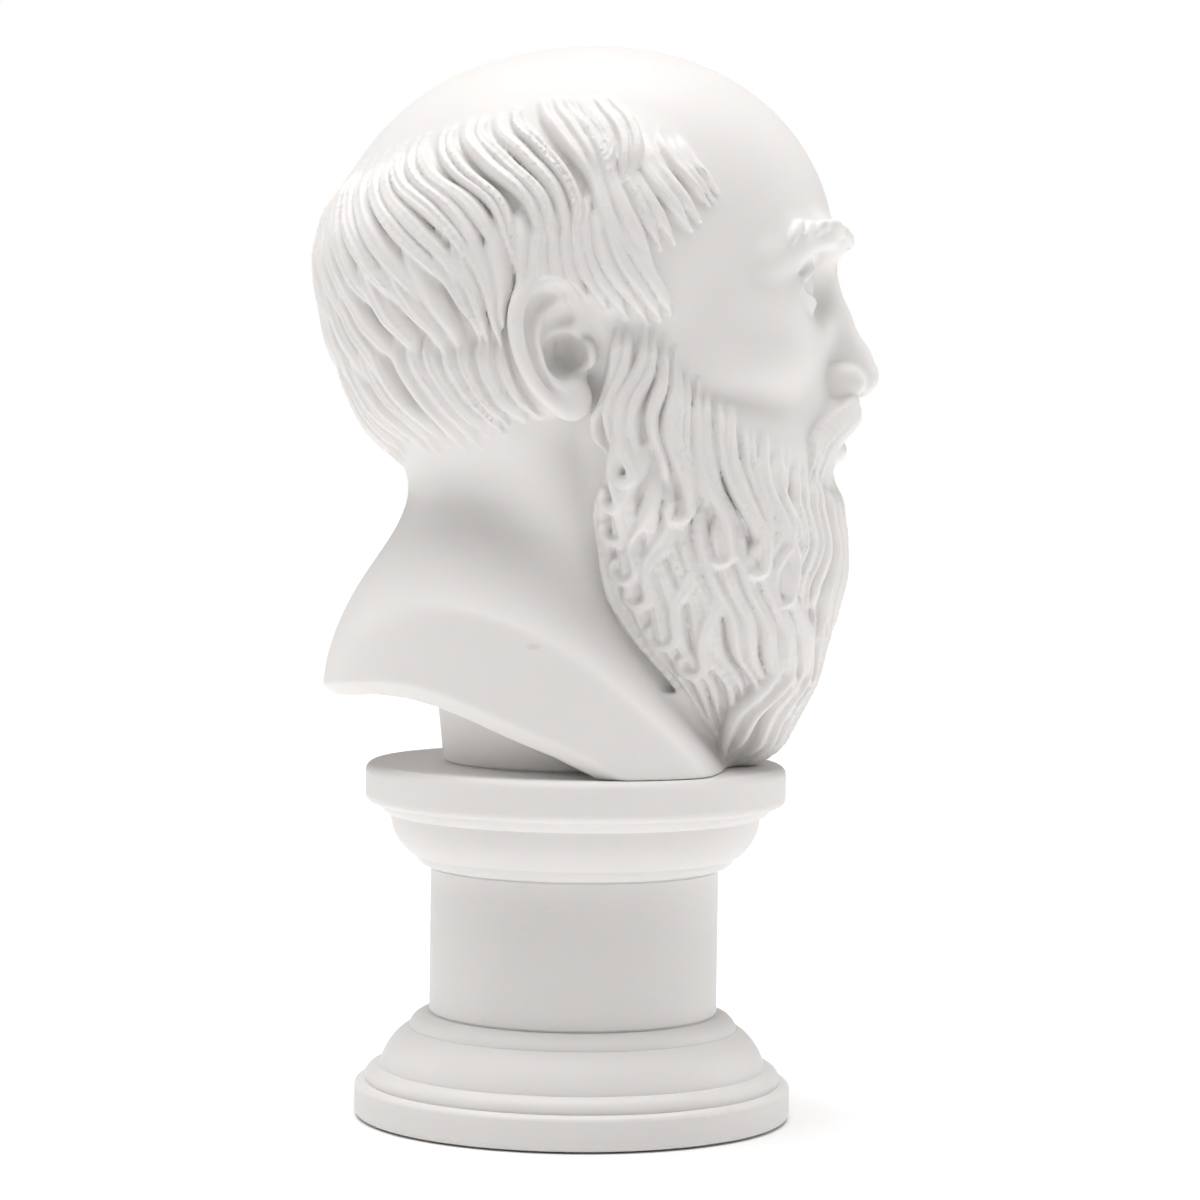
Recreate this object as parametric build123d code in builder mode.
"""Classical bust of a bearded man in white marble, on a turned round socle.

The frame: millimetres, +Z up, the face looks along -Y, and the origin is on the socle's axis, on
the surface that the bust stands on. The bust, with its round stem, is one carved block. It stands
on a socle of three turned blocks (cap, drum and base). Steel dowels keep the blocks from turning on
their bedding shims, and one threaded rod, screwed into a brass bush in the stem and tightened from
under the base, clamps the whole stack.
"""
import os
from math import hypot, pi

from build123d import *

# ---- driving dimensions: the socle -------------------------------------------------------------
SHIM = 0.4                 # thickness of each bedding shim, so the gap between two blocks
SHIM_INSET = 0.4           # a shim's rim stays inside the rim of the block that stands on it
PLINTH_R = 57.4
PLINTH_Z = 0.4             # the stone stays clear of the table, on its felt
PLINTH_TOP = 9.4
BASE_TOP = 27.4
DRUM_R = 37.9
DRUM_TOP = BASE_TOP + SHIM + 38.0
CAP_Z = DRUM_TOP + SHIM
SLAB_R = 55.3
SLAB_Z = 82.7
SLAB_TOP = 93.3
EDGE_R = 1.4               # worn arris of the plinth
DRUM_CHAMFER = 0.3
SLAB_EDGE_R = 2.3

# ---- driving dimensions: the bust --------------------------------------------------------------
TOTAL_HEIGHT = 280.0
BUST_Z = SLAB_TOP + SHIM
STEM_R = 34.9
STEM_TOP_R = 36.3
STEM_TOP = 116.0
CHEST_R = 53.0             # plan of the cut chest, over the slab
BACK_REACH = 68.0          # how far the shoulders reach behind the axis
FACET = 4.0                # slanted facet between the cut side and the underside
HEAD_Z = 226.0             # centre of the skull
HEAD_RADII = (48.5, 66.5, TOTAL_HEIGHT - HEAD_Z)
NECK_Y = 13.0

# ---- driving dimensions: what holds the stack together -----------------------------------------
ROD_D = 8.0
ROD_CHAMFER = 1.0
ROD_HOLE_D = 10.0
ROD_BOTTOM = 3.2
BUSH_D = 14.0
BUSH_Z = 100.0
BUSH_TOP = 128.0
GROOVES = 4                # round the bush, for the bonding
GROOVE_START = 4.0
GROOVE_PITCH = 5.5
GROOVE_WIDTH = 2.0
GROOVE_DEPTH = 0.8
ROD_TOP = 126.0
POCKET_D = 32.0            # pocket under the base for the nut
POCKET_TOP = 15.0
WASHER_D = 26.0
WASHER_T = 2.0
WASHER_PLAY = 0.2          # round the rod
SPRING_D = 14.1
SPRING_T = 1.6
SPRING_PLAY = 0.1
SPRING_SLIT = 1.2
SPRING_SLANT = 18.0
NUT_FLATS = 13.0
NUT_T = 6.5
DOWEL_D = 5.0
DOWEL_CHAMFER = 0.6
DOWEL_REACH = 8.0          # into each of the two blocks that it joins
DOWEL_SPAN = 44.0          # between the two dowels of a joint
FELT_R = 52.0
FELT_T = 1.6


def ellipsoid(centre, radii, rotation=(0, 0, 0)):
    """A closed ellipsoid with the given centre, half-axes and rotation."""
    with BuildPart() as blob:
        Sphere(1)
        scale(by=radii)
    return blob.part.moved(Location(centre, rotation))


def rod_passage(diameter, bottom, top):
    """A round plug on the axis: cut from a block, it leaves the passage for the rod."""
    with BuildPart() as plug:
        with BuildSketch(Plane.XY.offset(bottom)):
            Circle(diameter / 2)
        extrude(amount=top - bottom)
    return plug.part


def dowel_holes(level, into):
    """Two plugs from a joint face, upwards (into=1) or downwards (into=-1), to cut from a block."""
    with BuildPart() as plugs:
        with BuildSketch(Plane.XY.offset(level)):
            with GridLocations(DOWEL_SPAN, 0, 2, 1):
                Circle(DOWEL_D / 2)
        extrude(amount=into * (DOWEL_REACH - SHIM / 2))
    return plugs.part


def dowel_pair(label, middle):
    """Two plain pins, one each side of the axis, half in each block."""
    with BuildPart() as pins:
        with BuildSketch(Plane.XY.offset(middle - DOWEL_REACH)):
            with GridLocations(DOWEL_SPAN, 0, 2, 1):
                Circle(DOWEL_D / 2)
        extrude(amount=2 * DOWEL_REACH)
        chamfer(pins.edges().filter_by(GeomType.CIRCLE), DOWEL_CHAMFER)
    pins.part.label = label
    return pins.part


def bedding_shim(label, radius, bottom):
    """A thin round shim with a hole for the rod and one for each dowel."""
    with BuildPart() as disc:
        with BuildSketch(Plane.XY.offset(bottom)):
            Circle(radius)
            Circle(ROD_HOLE_D / 2, mode=Mode.SUBTRACT)
            with GridLocations(DOWEL_SPAN, 0, 2, 1):
                Circle(DOWEL_D / 2, mode=Mode.SUBTRACT)
        extrude(amount=SHIM)
    disc.part.label = label
    return disc.part


def widest_edges(block, radius):
    """The round edges of a turned block where it is as wide as the given radius."""
    return block.edges().filter_by(lambda edge: edge.length > 2 * pi * (radius - 0.1))


def is_cut_rim(edge):
    """Whether a torso edge lies on the cut side's plan, low enough to be its lower or front rim."""
    middle = edge @ 0.5
    reach_y = BACK_REACH if middle.Y > 0 else CHEST_R
    on_plan = abs(hypot(middle.X / CHEST_R, middle.Y / reach_y) - 1) < 0.02
    return on_plan and BUST_Z + 0.3 < middle.Z < 113.5 and edge.length > 20


# ---- socle_base: plinth, bead, ovolo and ring ---------------------------------------------------
with BuildPart() as socle_base:
    with BuildSketch(Plane.XZ):
        with BuildLine():
            Polyline((0, BASE_TOP), (0, PLINTH_Z), (PLINTH_R, PLINTH_Z), (PLINTH_R, PLINTH_TOP),
                     (PLINTH_R - 2.9, PLINTH_TOP))
            bead = ThreePointArc((PLINTH_R - 2.9, PLINTH_TOP), (54.2, 12.0), (52.0, 13.4))
            step = Line(bead @ 1, (50.8, 13.4))
            ovolo = ThreePointArc(step @ 1, (48.4, 19.1), (43.8, 23.5))
            ring_foot = Line(ovolo @ 1, (43.2, 23.5))
            ring = ThreePointArc(ring_foot @ 1, (42.0, 25.9), (38.9, BASE_TOP))
            Line(ring @ 1, (0, BASE_TOP))
        make_face()
    revolve(axis=Axis.Z)
    fillet(widest_edges(socle_base, PLINTH_R), EDGE_R)
    add(rod_passage(ROD_HOLE_D, PLINTH_Z, BASE_TOP), mode=Mode.SUBTRACT)
    add(rod_passage(POCKET_D, PLINTH_Z, POCKET_TOP), mode=Mode.SUBTRACT)
    add(rod_passage(2 * FELT_R, PLINTH_Z, FELT_T), mode=Mode.SUBTRACT)
    add(dowel_holes(BASE_TOP, -1), mode=Mode.SUBTRACT)
socle_base.part.label = "socle_base"

# ---- socle_drum: the plain column ---------------------------------------------------------------
with BuildPart() as socle_drum:
    with BuildSketch(Plane.XY.offset(BASE_TOP + SHIM)):
        Circle(DRUM_R)
    extrude(amount=DRUM_TOP - BASE_TOP - SHIM)
    chamfer(socle_drum.edges().filter_by(GeomType.CIRCLE), DRUM_CHAMFER)
    add(rod_passage(ROD_HOLE_D, BASE_TOP, DRUM_TOP), mode=Mode.SUBTRACT)
    add(dowel_holes(BASE_TOP + SHIM, 1), mode=Mode.SUBTRACT)
    add(dowel_holes(DRUM_TOP, -1), mode=Mode.SUBTRACT)
socle_drum.part.label = "socle_drum"

# ---- socle_cap: bead, ovolo, quarter round and slab ---------------------------------------------
with BuildPart() as socle_cap:
    with BuildSketch(Plane.XZ):
        with BuildLine():
            Polyline((0, SLAB_TOP), (0, CAP_Z), (38.8, CAP_Z))
            neck_bead = ThreePointArc((38.8, CAP_Z), (41.2, 67.4), (42.1, 69.2))
            echinus_foot = Line(neck_bead @ 1, (42.9, 69.2))
            echinus = ThreePointArc(echinus_foot @ 1, (47.1, 73.8), (48.6, 79.9))
            round_foot = Line(echinus @ 1, (49.3, 79.9))
            quarter = ThreePointArc(round_foot @ 1, (50.9, 81.1), (51.5, SLAB_Z))
            Polyline(quarter @ 1, (SLAB_R, SLAB_Z), (SLAB_R, SLAB_TOP), (0, SLAB_TOP))
        make_face()
    revolve(axis=Axis.Z)
    fillet(widest_edges(socle_cap, SLAB_R), SLAB_EDGE_R)
    add(rod_passage(ROD_HOLE_D, CAP_Z, SLAB_TOP), mode=Mode.SUBTRACT)
    add(dowel_holes(CAP_Z, 1), mode=Mode.SUBTRACT)
    add(dowel_holes(SLAB_TOP, -1), mode=Mode.SUBTRACT)
socle_cap.part.label = "socle_cap"

# ---- bust: the torso is cut round over the slab, and its underside arches up to the back --------
with BuildPart() as torso:
    add(ellipsoid((0, 6.5, 77), (76.6, 80.9, 52.3), (60, 0, 0)))
    with BuildSketch(Plane.XY.offset(BUST_Z)):
        Ellipse(CHEST_R, BACK_REACH)
        Rectangle(3 * CHEST_R, 3 * CHEST_R, align=(Align.CENTER, Align.MAX), mode=Mode.SUBTRACT)
        Circle(CHEST_R)
    extrude(amount=70, mode=Mode.INTERSECT)
    with BuildSketch(Plane.YZ.offset(-2 * CHEST_R)):
        with BuildLine():
            arch = Spline((-14, 89), (5, 98.5), (26, 107.3), (43, 112.3), (51, 112.7), (72, 108.5))
            Polyline(arch @ 1, (90, 80), (-14, 80), arch @ 0)
        make_face()
    extrude(amount=4 * CHEST_R, mode=Mode.SUBTRACT)

    # the rim of the cut side is taken off in a slanted facet, all but the short arcs over the slab
    chamfer(torso.edges().filter_by(is_cut_rim), FACET)

with BuildPart() as neck:
    for level, centre_y, half_x, half_y in ((118, 14, 44, 44), (135, 14, 34, 36), (155, NECK_Y, 30, 32),
                                            (178, NECK_Y - 1, 29, 31), (205, NECK_Y - 2, 30, 32)):
        with BuildSketch(Plane.XY.offset(level)):
            with Locations((0, centre_y)):
                Ellipse(half_x, half_y)
    loft()

with BuildPart() as beard:
    for level, centre_y, half_x, half_y in ((BUST_Z, -45, 9, 6), (104, -43, 19, 14), (120, -38, 30, 24),
                                            (140, -36, 37, 32), (160, -37, 40, 33),
                                            (180, -33, 43, 34), (197, -28, 44, 38)):
        with BuildSketch(Plane.XY.offset(level)):
            with Locations((0, centre_y)):
                Ellipse(half_x, half_y)
    loft()

with BuildPart() as bust:
    add(torso.part)
    add(neck.part)
    add(beard.part)
    # the skull, the face, the hair round the back and down the nape, and the nose
    add(ellipsoid((0, 0, HEAD_Z), HEAD_RADII))
    add(ellipsoid((0, -27, 198), (40, 42, 44)))
    add(ellipsoid((0, 8, 219), (52, 60, 43)))
    add(ellipsoid((0, 16, 194), (44, 39, 30)))
    add(ellipsoid((0, -66, 199), (8.5, 12, 15), (-14, 0, 0)))
    for side in (-1, 1):
        add(ellipsoid((side * 51.5, 1.6, 201.6), (4.5, 10, 17.5), (-8, 0, side * 12)))
    # the round stem that stands on the slab
    with BuildSketch(Plane.XZ):
        with BuildLine():
            Polyline((0, STEM_TOP), (0, BUST_Z), (STEM_R, BUST_Z))
            flare = Spline((STEM_R, BUST_Z), (STEM_R + 0.3, 101), (STEM_TOP_R, STEM_TOP),
                           tangents=((0, 1), (0.3, 1)))
            Line(flare @ 1, (0, STEM_TOP))
        make_face()
    revolve(axis=Axis.Z)
    add(rod_passage(ROD_HOLE_D, BUST_Z, BUSH_TOP), mode=Mode.SUBTRACT)
    add(rod_passage(BUSH_D, BUSH_Z, BUSH_TOP), mode=Mode.SUBTRACT)
    add(dowel_holes(BUST_Z, 1), mode=Mode.SUBTRACT)
bust.part.label = "bust"

# ---- bedding shims between the blocks, and the dowels through them ------------------------------
shims = (
    bedding_shim("base_shim", DRUM_R - SHIM_INSET, BASE_TOP),
    bedding_shim("drum_shim", DRUM_R - SHIM_INSET, DRUM_TOP),
    bedding_shim("bust_shim", STEM_R - SHIM_INSET, SLAB_TOP),
)
dowels = (
    dowel_pair("base_dowels", BASE_TOP + SHIM / 2),
    dowel_pair("drum_dowels", DRUM_TOP + SHIM / 2),
    dowel_pair("bust_dowels", SLAB_TOP + SHIM / 2),
)

# ---- rod_anchor: threaded brass bush, grooved outside and bonded into the stem ------------------
with BuildPart() as rod_anchor:
    with BuildSketch(Plane.XY.offset(BUSH_Z)):
        Circle(BUSH_D / 2)
        Circle(ROD_D / 2, mode=Mode.SUBTRACT)
    extrude(amount=BUSH_TOP - BUSH_Z)
    for groove in range(GROOVES):
        with BuildSketch(Plane.XY.offset(BUSH_Z + GROOVE_START + GROOVE_PITCH * groove)):
            Circle(BUSH_D / 2)
            Circle(BUSH_D / 2 - GROOVE_DEPTH, mode=Mode.SUBTRACT)
        extrude(amount=GROOVE_WIDTH, mode=Mode.SUBTRACT)
rod_anchor.part.label = "rod_anchor"

# ---- tie_rod ------------------------------------------------------------------------------------
with BuildPart() as tie_rod:
    with BuildSketch(Plane.XY.offset(ROD_BOTTOM)):
        Circle(ROD_D / 2)
    extrude(amount=ROD_TOP - ROD_BOTTOM)
    chamfer(tie_rod.edges().filter_by(GeomType.CIRCLE), ROD_CHAMFER)
tie_rod.part.label = "tie_rod"

# ---- clamp_washer, spring_washer and clamp_nut, stacked under the pocket's ceiling --------------
washer_z = POCKET_TOP - WASHER_T
spring_z = washer_z - SPRING_T
nut_z = spring_z - NUT_T

with BuildPart() as clamp_washer:
    with BuildSketch(Plane.XY.offset(washer_z)):
        Circle(WASHER_D / 2)
        Circle(ROD_D / 2 + WASHER_PLAY, mode=Mode.SUBTRACT)
    extrude(amount=WASHER_T)
clamp_washer.part.label = "clamp_washer"

with BuildPart() as spring_washer:
    with BuildSketch(Plane.XY.offset(spring_z)):
        Circle(SPRING_D / 2)
        Circle(ROD_D / 2 + SPRING_PLAY, mode=Mode.SUBTRACT)
        with Locations((SPRING_D / 2 - 1, 0)):
            Rectangle(SPRING_D / 2, SPRING_SLIT, rotation=SPRING_SLANT, mode=Mode.SUBTRACT)
    extrude(amount=SPRING_T)
spring_washer.part.label = "spring_washer"

with BuildPart() as clamp_nut:
    with BuildSketch(Plane.XY.offset(nut_z)):
        RegularPolygon(NUT_FLATS / 2, 6, major_radius=False)
        Circle(ROD_D / 2, mode=Mode.SUBTRACT)
    extrude(amount=NUT_T)
clamp_nut.part.label = "clamp_nut"

# ---- felt_pad: glued into the shallow recess under the plinth -----------------------------------
with BuildPart() as felt_pad:
    with BuildSketch():
        Circle(FELT_R)
    extrude(amount=FELT_T)
felt_pad.part.label = "felt_pad"

pieces = (bust.part, socle_cap.part, socle_drum.part, socle_base.part) + shims + dowels + (
    rod_anchor.part, tie_rod.part, clamp_washer.part, spring_washer.part, clamp_nut.part,
    felt_pad.part,
)

os.makedirs("parts", exist_ok=True)
for piece in pieces:
    export_step(piece, f"parts/{piece.label}.step")
    size = piece.bounding_box().size
    print(f"{piece.label:14s} {piece.volume / 1000:8.2f} cm3  "
          f"{size.X:6.1f} x {size.Y:6.1f} x {size.Z:6.1f} mm")
